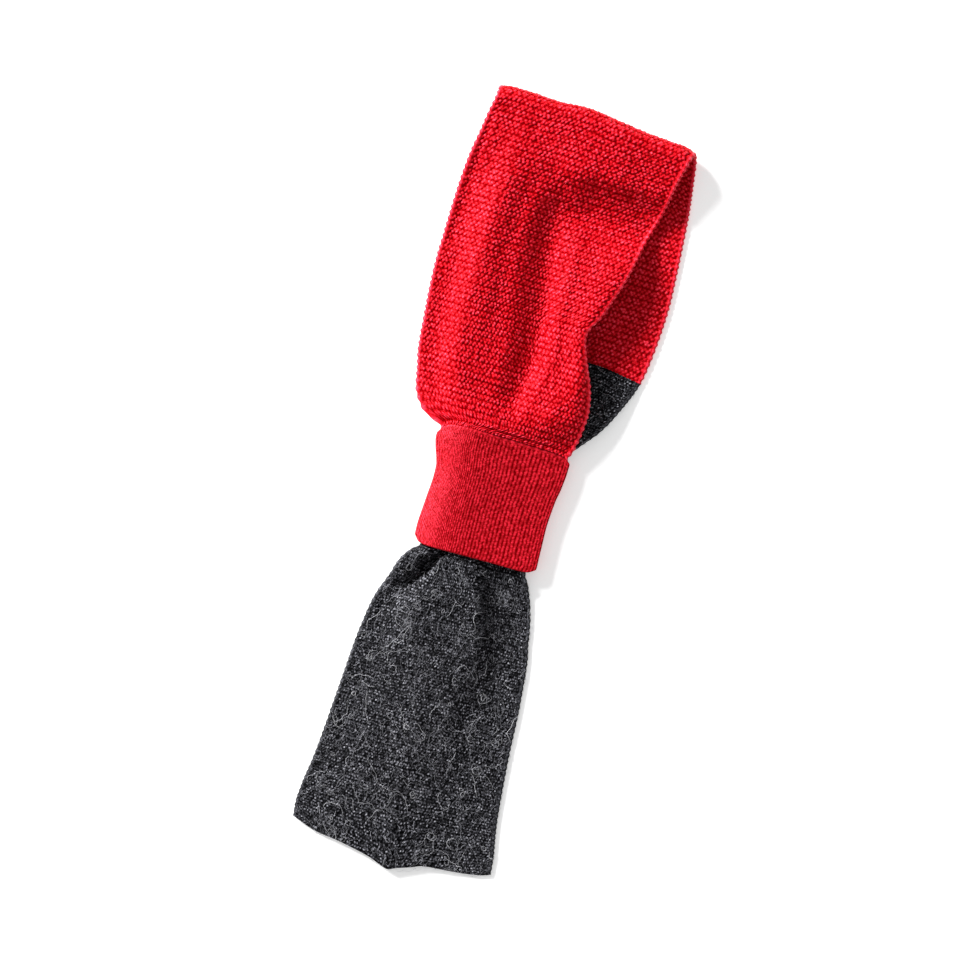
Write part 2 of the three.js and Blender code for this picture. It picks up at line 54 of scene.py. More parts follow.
ROWS_A_RIDGE = 6  # grid steps to a ridge
EDGE_ROUND = 1.7  # over which a selvedge is rounded
EDGE_THIN = 0.4  # share of the wall left at the very edge
ABOVE_TABLE = 0.02  # the nearest that a wall's point gets to the table top

# Each loop's own differences: how far it shifts along and across its line, in shares of the spacing,
# how far it turns, in radians, its mean height with how far that varies, and the power of its dome
LOOP_SHIFT, LOOP_RISE, LOOP_TURN = 0.2, 0.14, 0.35
LOOP_HEIGHT, LOOP_VARIES, LOOP_DOME = 0.8, 0.3, 0.8
FELT_FINER = 1.5  # loops of the felted face to a stitch
FELT_WANDER = 0.35  # how far its columns and lines stray, in shares of their spacing
# A selvedge: how far the chain's loops stray along it, where its scallops die out, the middle, half
# width, height and least height of the chain's rim, and where the plain loops begin beside it
CHAIN_STRAY, SCALLOP_REACH = 0.08, 3.0
RIM_AT, RIM_HALF, RIM_HEIGHT, RIM_LEAST = 1.2, 1.5, 0.3, 0.2
LOOPS_FROM, LOOPS_IN = 2.1, 0.9
RED_LOOPS = {"depth": 0.95, "edge": 0.45}  # how far loops and scallops stand out
FELT_LOOPS = {"depth": 0.8, "edge": 0.25}

SEAM_Y = 30.5  # where the front is joined to the cuff
ROLL_Y = 249.0  # where the front begins to roll over
ROLL_RUN = 7.6  # mean radius of the roll
COLOUR_Y = 95.0  # where the strip changes colour underneath
INSIDE_Y = -12.0  # middle of the cuff
HEM_Y = -262.0

# Plan outlines: x of the left and right edge at y
FRONT_OUTLINE = {
    "y": [30.5, 33, 36, 40, 45, 50, 60, 70, 80, 90, 100, 110, 117, 125, 135, 150, 165, 185, 200, 212,
          225, 237, 249],
    "left": [-46, -50, -56.5, -62.7, -67.7, -70.2, -72.5, -75, -76.5, -77.5, -78.5, -79.5, -80,
             -80.6, -81, -81, -81, -80.7, -80, -78.8, -76.8, -75.3, -73.2],
    "right": [42, 43.8, 44.7, 45.5, 46.5, 47, 47.5, 46, 43, 38.5, 34.3, 31.2, 32.2, 36.8, 40.2, 45,
              48.5, 52.5, 56.5, 58.6, 60, 61.8, 64.3],
}
BACK_OUTLINE = {
    "y": [-12, 10, 30, 35, 40, 50, 60, 70, 80, 90, 100, 120, 145, 170, 200, 225, 249],
    "left": [-36.8, -37, -37.5, -40, -43, -48, -52, -55, -57, -59, -60, -60.7, -61.3, -62.8, -65.5,
             -69, -72],
    "right": [37.8, 38.5, 40, 45, 49, 57, 63, 67.5, 71, 74, 76.5, 78.8, 79.5, 78, 75.5, 73, 70],
}
TAIL_OUTLINE = {
    "y": [-262, -250, -240, -230, -210, -190, -170, -150, -130, -110, -100, -92, -85, -78, -72, -66,
          -60, -54, -40, -12],
    "left": [-66.8, -68, -67.6, -67, -64.8, -63.5, -62.5, -61.5, -60.5, -58.5, -57, -55, -52.5, -50,
             -48.5, -46, -42, -36.3, -36.2, -36.8],
    "right": [72.4, 71.2, 69.6, 68, 65.3, 63.2, 61.3, 60, 58, 55.5, 53, 51.5, 50, 48, 46, 43.5, 40.8,
              37.2, 37.2, 37.8],
}
CUFF_OUTLINE = {
    "y": [-54, -49, -40, -30, -20, -10, 0, 6, 12, 18, 24, 31],
    "left": [-41.3, -42, -42.4, -42, -41.5, -41, -41.5, -43.3, -45.5, -47, -47, -47],
    "right": [42.4, 43.4, 43, 42.5, 42, 42.3, 43, 44, 44.6, 45, 45, 45],
}

# Edges that run across: their y at a share u of the width
ROLL_EDGE = {
    "u": [0, 0.06, 0.2, 0.3, 0.44, 0.6, 0.75, 0.87, 0.95, 1],
    "y": [257.5, 259.3, 259.2, 258.6, 260, 257.5, 255, 254, 253.2, 250.5],
}
COLOUR_EDGE = {"u": [0, 0.7, 0.82, 0.9, 1], "y": [95, 95, 94.6, 93, 91]}
HEM_EDGE = {
    "u": [0, 0.05, 0.12, 0.26, 0.41, 0.48, 0.515, 0.545, 0.62, 0.67, 0.84, 0.95, 1],
    "y": [-254.5, -257, -260, -262.5, -266.5, -270, -271, -269, -265.3, -262.5, -260, -257.5, -255],
}
CUFF_TOP_EDGE = {
    "u": [0, 0.05, 0.14, 0.28, 0.5, 0.72, 0.95, 1],
    "y": [22, 27, 29.4, 30, 30.5, 30.5, 29.5, 26],
}
CUFF_LOW_EDGE = {
    "u": [0, 0.05, 0.25, 0.75, 0.95, 1],
    "y": [-49.5, -53.2, -54, -53, -52.3, -49.5],
}
CUFF_BEHIND = 0.4  # share of those curves that the cuff's hidden back edge follows

# Heights of the middle of the front's wall at its two edges and, with their x, at a shelf by the left
# edge, the left ridge, the bank right of it, the valley, the brow right of that and the right ridge
FRONT_FOLDS = {
    "y": [30, 38, 50, 70, 90, 112, 140, 163, 187, 203, 219, 249],
    "edge_l": [9.5, 8.5, 7, 6, 6, 6, 6, 6.5, 7.5, 9, 11.5, 15],
    "shelf_x": [-40, -50, -60, -66, -68, -70, -71, -72, -71, -70, -68, -64],
    "shelf": [11.5, 10, 8.5, 7.3, 7, 7, 7, 7.2, 8, 9.2, 12, 15.8],
    "ridge_l_x": [-25, -32, -39, -46, -49, -50, -51, -51, -50, -48, -46, -45],
    "ridge_l": [16.5, 16.3, 15.8, 15.6, 15.6, 15.8, 15.8, 15.8, 15.8, 15.5, 15.5, 16.5],
    "bank_x": [-14, -17, -20, -21, -22, -26, -31, -33, -32, -28, -24, -25],
    "bank": [17, 16.5, 15.2, 14.2, 13.8, 13.4, 13.2, 13.2, 13.0, 13.4, 16, 17],
    "valley_x": [-2, -4, -4, -1, 0, -2, -6, -10, -11, -8, -3, -3],
    "valley": [16.8, 15.4, 12.4, 8.4, 6.4, 5.9, 5.8, 5.8, 7.2, 11.6, 16.8, 17.4],
    "brow_x": [8, 8, 9, 13, 15, 13, 11, 10, 12, 14, 14, 14],
    "brow": [17, 16.6, 15.8, 15, 15, 14.8, 14, 11.8, 6.6, 9, 15.6, 17.8],
    "ridge_r_x": [20, 21, 24, 32, 33, 28, 36, 43, 47, 48, 45, 40],
    "ridge_r": [16.5, 17, 17.5, 18.4, 19, 18.8, 18.2, 15.6, 6.9, 6.9, 13, 17.4],
    "edge_r": [10, 11.5, 12, 13.5, 15.5, 17, 16.5, 14.5, 8, 7.4, 12.6, 17],
}
# Gathers of the band underneath and the tail, from -1, the lowest room they have, to 1, the highest.
# From left to right the tail's are a petal by the edge, a deep fold, a ridge, a roof, a dip, a crest
BAND_GATHERS = {"u": [0, 0.22, 0.45, 0.72, 1], "lift": [-0.3, 0.9, -0.9, 0.9, -0.4]}
TAIL_GATHERS = {
    "y": [-262, -160, -130, -110, -98, -85, -75, -64, -54],
    "edge_l": [-1, -1, -1, -1, -1, -0.9, -0.3, 0.3, 0.3],
    "petal_u": [0.02, 0.02, 0.02, 0.02, 0.02, 0.03, 0.08, 0.12, 0.13],
    "petal": [-1, -1, -0.95, -0.9, -0.85, -0.75, 0.2, 1, 0.95],
    "fold_u": [0.05, 0.05, 0.06, 0.08, 0.1, 0.12, 0.18, 0.245, 0.25],
    "fold": [-1, -1, -1, -1, -1, -1, -1, -1, -1],
    "ridge_u": [0.3, 0.3, 0.3, 0.31, 0.28, 0.27, 0.27, 0.33, 0.37],
    "ridge": [0.1, 0.1, 0.4, 0.9, 1, 1, 1, 1, 1],
    "roof_u": [0.52, 0.53, 0.6, 0.66, 0.65, 0.62, 0.6, 0.58, 0.57],
    "roof": [1, 1, 1, 1, 1, 1, 1, 1, 1],
    "dip_u": [0.9, 0.9, 0.88, 0.78, 0.74, 0.7, 0.68, 0.66, 0.65],
    "dip": [-1, -1, -1, -0.9, -0.75, -0.7, -0.7, -0.7, -0.7],
    "crest_u": [0.96, 0.96, 0.96, 0.96, 0.96, 0.96, 0.96, 0.95, 0.95],
    "crest": [-1, -1, -1, -1, -1, -1, -1, -1, -1],
    "edge_r": [-1, -1, -1, -1, -1, -1, -1, -1, -0.95],
}
# The room below the cuff: lowest and highest the tail's middle gets
TAIL_ROOM = {
    "y": [-262, -200, -150, -120, -95, -75, -54],
    "low": [LAID, LAID, LAID, LAID, LAID, 1.8, 4],
    "high": [4.2, 5.8, 7.2, 9.4, 11.2, 12.8, 13.4],
}
# Soft creases: start and end, how far each rises, or sinks where negative, and half its width
FRONT_CREASES = (
    (-6, 191, 50, 189, -0.8, 9.0), (-6, 217, 48, 218, 0.9, 7.0), (-73, 235, -75, 150, -1.2, 4.0),
    (-73, 120, -68, 70, -0.5, 4.0), (-40, 236, -22, 214, -0.8, 5.0), (-36, 60, 18, 57, -0.6, 3.5),
    (-30, 46, 30, 42, 0.6, 3.0), (24, 88, 30, 60, -0.8, 5.0), (-42, 130, -40, 100, 0.5, 5.0),
    (2, 176, 12, 168, 0.8, 6.0),
)
TAIL_CREASES = (
    (-13, -118, -6, -190, 0.5, 7.0), (-6, -190, 2, -268, 0.6, 5.0), (-52, -124, -58, -200, 0.5, 6.0),
    (36, -150, 48, -240, 0.5, 9.0), (6, -130, 10, -250, -0.4, 4.0), (-40, -205, -20, -225, 0.4, 7.0),
    (-50, -160, -38, -150, -0.4, 6.0), (30, -58, 33, -80, 0.8, 2.5),
)

CUFF_WALL = 3.0
CUFF_LENGTH = 84.0
CUFF_ROUND = 190.0  # length round the tube
SLACK = 0.5  # between the cuff and the strip that passes through it
CUFF_HIGH_TOP, CUFF_HIGH_LOW = 19.0, 18.0  # height of its arch at the upper and the lower edge
CUFF_SIDE_Z = 8.5  # height of its two sides
CUFF_PRESSED = 0.5  # how far its back would bulge below the table, where it is pressed flat
CUFF_ROUND_TOP, CUFF_ROUND_LOW = 1.6, 3.2  # powers of the superellipses over and under the sides
FOLD_ROUND = 1.5  # roundness of the fold at the lower edge
RIBS = 50
RIB_STEPS = 10  # grid steps round the tube to a rib
COURSE = 1.5  # height of a stitch in the rib
COURSE_STEPS = 3  # grid steps to a stitch
LEG_TOP = 0.85  # height at which a loop of the rib is flattened, which also caps its painted highlight
LEG_DEPTH, LEG_LEVEL = 0.14, 0.75  # how far its loops stand out, and from which height
LINK_ROW = 2.6  # height of the linking row at the top of the cuff
LINK_STRAY, LINK_BLEND = 0.15, 0.5  # how far that height strays, and the length the row ends in
BEAD_HEIGHT, BEAD_SWING, BEAD_STRAY = 0.6, 0.25, 0.15  # its beads' mean height, swing and stray
CREASE_LEFT, CREASE_RIGHT = 3.2, 7.5  # how far below the top edge a crease runs, left and right
CREASE_DEEP, CREASE_SHARE, CREASE_HALF = 0.5, 0.35, 0.8  # depth, also of the crease's painted shade, share of it at the right, half width
RELIEF_FROM, RELIEF_IN = 0.4, 1.6  # height above the table from which loops show, and in which
OVER_IN = 0.4  # sine of the turn from a side at which linking row and crease have come in
LIP_THIN, LIP_LONG = 0.4, 1.2  # how much the upper edge thins, and over what length
TUCK, TUCK_LONG = 0.3, 2.0  # share of FOLD_ROUND by which the lower edge is drawn up, and its length
FOLD_DEPTHS = (0.5, 1.5, 2.5, CUFF_WALL)  # points round the fold at the lower edge: how deep in
FOLD_RISES = (0.0, -0.2, 0.2, FOLD_ROUND)  # and how far up
INNER_FROM, INNER_ROWS = 0.1, 12  # where the rows up its inside start, and how many there are

SEAM_BLEND, SEAM_PINCH = 24.0, 7.0  # lengths in which the front takes the cuff's arch, and its width
ROLL_BLEND, HEM_BLEND, CUT_BLEND = 49.0, 50.0, 30.0  # lengths in which rows turn to a slanting edge
GATHER_FROM, MOUTH_Y = 100.0, 33.0  # where the band underneath starts to gather, and where it has
TURN_FROM, TURN_TO = 8.0, -34.0  # between which its gathers turn into the tail's
TAIL_OPENS = 12.0  # length below the cuff in which the tail gets its own room
FRONT_SIDES = 0.22  # how far short of the cuff's sides the seam stops, in radians
SKEW, SKEW_FADE = 14.0, 26.0  # how far left the cuff's arch leans, and the length past it that does
ARCH_LEFT, ARCH_FALL = 1.35, 1.05  # its height at the left as a share, and how much less at the right
ARCH_POWER = 1.2  # power of the share of the width by which it falls
TAIL_CREASES_IN = 4.0  # length below the cuff in which the tail's creases come in
CREASE_END = 1.6  # how soft a crease's ends are, in half widths of it


def ease(t):
    """Smooth step from 0 to 1: t squared times (3 - 2 t), clamped."""
    t = np.clip(t, 0, 1)
    return t * t * (3 - 2 * t)


def mix(a, b, t):
    """The value a share t of the way from a to b."""
    return a + (b - a) * t


def look(table, key, at, along="y"):
    """Smooth curve through a table's column: cubic between rows, each slope that of its neighbours."""
    x = np.asarray(table[along], float)
    z = np.asarray(table[key], float)
    wide = np.concatenate([x[:1], x, x[-1:]])
    tall = np.concatenate([z[:1], z, z[-1:]])
    slope = (tall[2:] - tall[:-2]) / (wide[2:] - wide[:-2])
    at = np.clip(at, x[0], x[-1])
    i = np.clip(np.searchsorted(x, at, side="right") - 1, 0, len(x) - 2)
    step = x[i + 1] - x[i]
    t = (at - x[i]) / step
    start = z[i] * (1 + 2 * t) * (1 - t) ** 2 + slope[i] * step * t * (1 - t) ** 2
    return start + z[i + 1] * t * t * (3 - 2 * t) - slope[i + 1] * step * t * t * (1 - t)


def fold(knots, x):
    """Height across a folded wall: cosine waves through (x, height) knots, parabolas at the edges."""
    z = np.zeros(np.broadcast(x, knots[0][0]).shape) + knots[0][1]
    last = len(knots) - 2
    for i, ((x0, z0), (x1, z1)) in enumerate(zip(knots[:-1], knots[1:])):
        t = np.clip((x - x0) / (x1 - x0), 0, 1)
        wave = mix(z0, z1, (1 - np.cos(np.pi * t)) / 2)
        if i == 0:
            wave = mix(z1, z0, (1 - t) ** 2)
        if i == last:
            wave = mix(z0, z1, t * t)
        z = np.where(x > x0, wave, z)
    return z


def wander(x, y, size, seed):
    """Smooth random field from -1 to 1: random values on a square grid of that size, eased between.

    It repeats after so many squares as the grid has."""
    count = 97
    start = 400.0  # in squares, so that no place is negative
    grid = np.random.default_rng(seed).uniform(-1, 1, (count, count))
    gx, gy = np.asarray(x) / size + start, np.asarray(y) / size + start
    i, j = np.floor(gx).astype(int), np.floor(gy).astype(int)
    tx, ty = ease(gx - i), ease(gy - j)
    i, j, right, up = i % count, j % count, (i + 1) % count, (j + 1) % count
    return mix(mix(grid[i, j], grid[right, j], tx), mix(grid[i, up], grid[right, up], tx), ty)


def creases(table, x, y):
    """Height of soft creases: a bell curve across each one's line, easing off past its two ends."""
    z = 0
    for x0, y0, x1, y1, rise, wide in table:
        long = math.hypot(x1 - x0, y1 - y0)
        ahead = ((x - x0) * (x1 - x0) + (y - y0) * (y1 - y0)) / long
        aside = ((x - x0) * (y1 - y0) - (y - y0) * (x1 - x0)) / long
        past = np.maximum(0, np.maximum(-ahead, ahead - long))
        z = z + rise * np.exp(-(aside / wide) ** 2 - (past / (CREASE_END * wide)) ** 2)
    return z


def cuff_outside(turn, along):
    """The cuff's outside: a flattened tube of two superellipse halves, its back pressed flat.

    Across, it goes by the sign of the cosine times its size to the power 2 / n, between the outline's
    two sides; up, by the sine in the same way. along is 0 at the lower edge and 1 at the upper."""
    c, s = np.cos(turn), np.sin(turn)
    over = s >= 0
    power = 2 / np.where(over, CUFF_ROUND_TOP, CUFF_ROUND_LOW)
    share = (1 + np.sign(c) * np.abs(c) ** power) / 2
    top, low = look(CUFF_TOP_EDGE, "y", share, "u"), look(CUFF_LOW_EDGE, "y", share, "u")
    side = mix(CUFF_TOP_EDGE["y"][0], CUFF_TOP_EDGE["y"][-1], share)
    behind = np.where(over, 1, mix(1, CUFF_BEHIND, ease(-2 * s)))
    y = mix(mix(CUFF_LOW_EDGE["y"][0], low, behind), mix(side, top, behind), along)
    left, right = look(CUFF_OUTLINE, "left", y), look(CUFF_OUTLINE, "right", y)
    reach = np.where(over, mix(CUFF_HIGH_LOW, CUFF_HIGH_TOP, along) - CUFF_SIDE_Z,
                     CUFF_SIDE_Z + CUFF_PRESSED)
    z = CUFF_SIDE_Z + reach * np.sign(s) * np.abs(s) ** power
    return np.stack([mix(left, right, share), y, np.maximum(0, z)], -1)


def cuff_out(turn, along):
    """Outward direction of the cuff's section: the way round it, turned by a quarter in its plane."""
    step = 0.01
    way = cuff_outside(turn + step, along) - cuff_outside(turn - step, along)
    out = np.stack([way[..., 2], np.zeros(way.shape[:-1]), -way[..., 0]], -1)
    return out / np.linalg.norm(out, axis=-1, keepdims=True)


def skew(points):
    """The cuff's arch, and what runs in it, leaned to the left and lowered to the right.

    With s the share of the width and h the height above the sides, x goes down by SKEW 4 s (1 - s) h
    and h is multiplied by ARCH_LEFT less ARCH_FALL times s to the power ARCH_POWER."""
    x, y, z = points[..., 0], points[..., 1], points[..., 2]
    left, right = look(CUFF_OUTLINE, "left", y), look(CUFF_OUTLINE, "right", y)
    share = np.clip((x - left) / (right - left), 0, 1)
    high = np.maximum(0, (z - CUFF_SIDE_Z) / (CUFF_HIGH_LOW - CUFF_SIDE_Z))
    near = (ease((y - CUFF_OUTLINE["y"][0] + SKEW_FADE) / SKEW_FADE)
            * ease((CUFF_OUTLINE["y"][-1] + SKEW_FADE - y) / SKEW_FADE))
    scale = mix(1, ARCH_LEFT - ARCH_FALL * share ** ARCH_POWER, near)
    z = np.where(z > CUFF_SIDE_Z, CUFF_SIDE_Z + (z - CUFF_SIDE_Z) * scale, z)
    return np.stack([x - SKEW * 4 * share * (1 - share) * high * near, y, z], -1)


def equal_turns(start, end, count):
    """Turns that part the cuff's outside into equal lengths."""
    turns = np.linspace(start, end, 2001)  # close enough to add up the length
    points = cuff_outside(turns, 0.5)
    run = np.concatenate([[0], np.cumsum(np.linalg.norm(np.diff(points, axis=0), axis=1))])
    return np.interp(np.linspace(0, run[-1], count + 1), run, turns)


def front_height(left, right, row, x):
    """Height across the front at x, from a row of FRONT_FOLDS."""
    names = ("shelf", "ridge_l", "bank", "valley", "brow", "ridge_r")
    knots = [(row[key + "_x"], row[key]) for key in names]
    return fold([(left, row["edge_l"]), *knots, (right, row["edge_r"])], x)


def roll_height(u):
    """Height of the front's middle where the roll begins, at a share u of the width."""
    row = {key: column[-1] for key, column in FRONT_FOLDS.items()}
    left, right = FRONT_OUTLINE["left"][-1], FRONT_OUTLINE["right"][-1]
    return front_height(left, right, row, mix(left, right, u))


def roll_centre(u):
    """y of the roll's axis: the roll's edge less half the height it spans and half the wall."""
    return look(ROLL_EDGE, "y", u, "u") - (roll_height(u) - LAID) / 2 - WALL / 2


def roll_mid(u, turn):
    """Middle surface of the roll: half a circle from the front, turn 0, to the band underneath, pi."""
    x = mix(mix(FRONT_OUTLINE["left"][-1], FRONT_OUTLINE["right"][-1], u),
            mix(BACK_OUTLINE["left"][-1], BACK_OUTLINE["right"][-1], u), turn / np.pi)
    radius = (roll_height(u) - LAID) / 2
    return np.stack([x, roll_centre(u) + radius * np.sin(turn),
                     LAID + radius * (1 + np.cos(turn))], -1)


def slant(u, y):
    """How far a row near the roll is moved along y, so that the last one lies on the roll's axis."""
    return (roll_centre(u) - ROLL_Y) * ease((y - ROLL_Y + ROLL_BLEND) / ROLL_BLEND)


def front_mid(u, y):
    """Middle surface of the front: folds across it, drawn in to the cuff's arch near the seam."""
    left, right = look(FRONT_OUTLINE, "left", y), look(FRONT_OUTLINE, "right", y)
    x = mix(left, right, u)
    row = {key: look(FRONT_FOLDS, key, y) for key in FRONT_FOLDS if key != "y"}
    height = front_height(left, right, row, x) + creases(FRONT_CREASES, x, y)
    free = np.stack([x, y + slant(u, y), height], -1)
    count = 400  # places along the seam, between which its turns are read
    turns = equal_turns(np.pi - FRONT_SIDES, FRONT_SIDES, count)
    turn = np.interp(u, np.linspace(0, 1, count + 1), turns)
    seam = skew(cuff_outside(turn, 1.0) - cuff_out(turn, 1.0) * WALL / 2)
    seam = np.stack(np.broadcast_arrays(seam[..., 0], seam[..., 1] + y - SEAM_Y, seam[..., 2]), -1)
    near = ease((SEAM_Y + SEAM_BLEND - y) / SEAM_BLEND)[..., None]
    point = mix(free, seam, near)
    point[..., 0] = mix(x, seam[..., 0], ease((SEAM_Y + SEAM_PINCH - y) / SEAM_PINCH))
    return point


def cuff_room(x, y):
    """Lowest and highest that the strip's middle gets inside the cuff at x: the two superellipses of
    its section, less the cuff's wall, the slack and half the strip's wall."""
    left, right = look(CUFF_OUTLINE, "left", y), look(CUFF_OUTLINE, "right", y)
    half = (right - left) / 2 - CUFF_WALL - SLACK
    off = np.minimum(1, np.abs(x - (left + right) / 2) / half)
    inset = CUFF_WALL + SLACK + WALL / 2
    up = (1 - off ** CUFF_ROUND_TOP) ** (1 / CUFF_ROUND_TOP)
    down = (1 - off ** CUFF_ROUND_LOW) ** (1 / CUFF_ROUND_LOW)
    return (CUFF_SIDE_Z - (CUFF_SIDE_Z - inset) * down,
            CUFF_SIDE_Z + (CUFF_HIGH_LOW - CUFF_SIDE_Z - inset) * up)


def band_lift(u):
    """Gathers across the band underneath: cosine waves through the knots of BAND_GATHERS."""
    return fold(list(zip(BAND_GATHERS["u"], BAND_GATHERS["lift"])), u)


def tail_lift(u, y):
    """Gathers across the tail at y: cosine waves through the knots of TAIL_GATHERS."""
    row = {key: look(TAIL_GATHERS, key, y) for key in TAIL_GATHERS if key != "y"}
    names = ("petal", "fold", "ridge", "roof", "dip", "crest")
    knots = [(row[key + "_u"], row[key]) for key in names]
    return fold([(0, row["edge_l"]), *knots, (1, row["edge_r"])], u)


def back_mid(u, y):
    """Middle surface underneath: flat on the table, then gathered and lifted into the cuff."""
    x = mix(look(BACK_OUTLINE, "left", y), look(BACK_OUTLINE, "right", y), u)
    cut = look(COLOUR_EDGE, "y", u, "u") - COLOUR_Y
    shift = slant(u, y) + cut * ease(1 - np.abs(y - COLOUR_Y) / CUT_BLEND)
    low, high = cuff_room(x, np.minimum(y, MOUTH_Y))
    turned = ease((TURN_FROM - y) / (TURN_FROM - TURN_TO))
    lift = mix(band_lift(u), tail_lift(u, TAIL_ROOM["y"][-1]), turned)
    z = mix(LAID, mix(low, high, (1 + lift) / 2), ease((GATHER_FROM - y) / (GATHER_FROM - MOUTH_Y)))
    return skew(np.stack([x, y + shift, np.maximum(LAID, z)], -1))


def tail_mid(u, y):
    """Middle surface of the tail: gathered in the cuff, spreading and coming down to the table."""
    x = mix(look(TAIL_OUTLINE, "left", y), look(TAIL_OUTLINE, "right", y), u)
    mouth = TAIL_ROOM["y"][-1]
    low, high = cuff_room(x, np.maximum(y, mouth))
    opened = ease((mouth - y) / TAIL_OPENS)
    low = mix(low, look(TAIL_ROOM, "low", y), opened)
    high = mix(high, look(TAIL_ROOM, "high", y), opened)
    turned = ease((TURN_FROM - y) / (TURN_FROM - TURN_TO))
    lift = mix(band_lift(u), tail_lift(u, np.minimum(y, mouth)), turned)
    shift = (look(HEM_EDGE, "y", u, "u") - HEM_Y) * ease((HEM_Y + HEM_BLEND - y) / HEM_BLEND)
    z = mix(low, high, (1 + lift) / 2)
    z = z + creases(TAIL_CREASES, x, y) * ease((mouth - y) / TAIL_CREASES_IN)
    return skew(np.stack([x, y + shift, np.maximum(LAID, z)], -1))


def edge_share(distance):
    """Half the wall's thickness near a free edge, as a share of the full one: a quarter round."""
    t = 1 - np.minimum(distance, EDGE_ROUND) / EDGE_ROUND
    return np.sqrt(1 - t * t * (1 - EDGE_THIN ** 2))


def stitches(run, line, run_mm, line_mm, long, short, lean, pair, seed):
    """Height of a knitted face, from 0 between the loops to about 1 on top of them.

    Each loop is an oval dome with half axes long and short, turned by lean radians. Loops stand run_mm
    apart along a line and the lines line_mm apart, every other line half a loop on and leaning the
    other way, and lines close up in pairs by the share pair. Each loop has its own small shift, turn
    and height, and where domes meet the taller one counts."""
    lines, loops = 61, 59  # after which the loops' own differences repeat
    own = np.random.default_rng(seed).uniform(-1, 1, (4, lines, loops))
    best = np.zeros(np.broadcast(run, line).shape)
    under = np.floor(line).astype(int)
    for row in (under - 1, under, under + 1, under + 2):
        odd = row % 2
        middle = np.round(run - 0.5 * odd).astype(int)
        for place in (middle - 1, middle, middle + 1):
            shift, rise, turn, high = own[:, row % lines, place % loops]
            across = (run - place - 0.5 * odd - LOOP_SHIFT * shift) * run_mm
            up = (line - row - pair * (1 - 2 * odd) - LOOP_RISE * rise) * line_mm
            angle = (lean + LOOP_TURN * turn) * (1 - 2 * odd)
            c, s = np.cos(angle), np.sin(angle)
            far = ((across * c + up * s) / long) ** 2 + ((up * c - across * s) / short) ** 2
            dome = (LOOP_HEIGHT + LOOP_VARIES * high) * np.maximum(0, 1 - far) ** LOOP_DOME
            best = np.maximum(best, dome)
    return best


def garter(wale, ridge):
    """The red yarn's garter face: one loop a stitch, two lines a ridge."""
    return stitches(wale, 2 * ridge, WALE, RIDGE / 2, long=1.4, short=1.1, lean=0.5, pair=0.13,
                    seed=11)


def felted(wale, ridge):
    """The charcoal yarn's felted face: smaller, closer loops that lean more, in lines that stray."""
    wale = FELT_FINER * wale + FELT_WANDER * wander(wale, ridge, 2.0, 51)
    line = 2 * ridge + FELT_WANDER * wander(ridge, wale, 2.5, 52)
    return stitches(wale, line, WALE / FELT_FINER, RIDGE / 2, long=1.2, short=0.85, lean=0.7,
                    pair=0.04, seed=12)


def add_mesh(name, points, faces, material, relief=None):
    """A mesh object at the origin: points in metres, a list of face arrays, and the relief of each
    point, which its material reads."""
    mesh = bpy.data.meshes.new(name)
    mesh.from_pydata(points.reshape(-1, 3).tolist(), [], [f for part in faces for f in part.tolist()])
    if relief is not None:
        value = mesh.attributes.new("relief", "FLOAT", "POINT")
        value.data.foreach_set("value", relief.astype(np.float32).ravel())
    mesh.polygons.foreach_set("use_smooth", np.ones(len(mesh.polygons), bool))
    mesh.materials.append(material)
    mesh.update()
    obj = bpy.data.objects.new(name, mesh)
    bpy.context.scene.collection.objects.link(obj)
    return obj


def quads(number):
    """Quads of a grid of point numbers, anticlockwise where columns run right and rows run up."""
    corners = [number[:-1, :-1], number[:-1, 1:], number[1:, 1:], number[1:, :-1]]
    return np.stack(corners, -1).reshape(-1, 4)


def to_part(points):
    """Millimetres in the tables' frame to metres in the part's frame."""
    return (points - np.array([CENTRE[0], CENTRE[1], 0.0])) * MM


def across_of(grid):
    """Unit normals of a grid of points: the step between columns crossed with that between rows."""
    out = np.cross(np.gradient(grid, axis=1), np.gradient(grid, axis=0))
    return out / np.linalg.norm(out, axis=-1, keepdims=True)


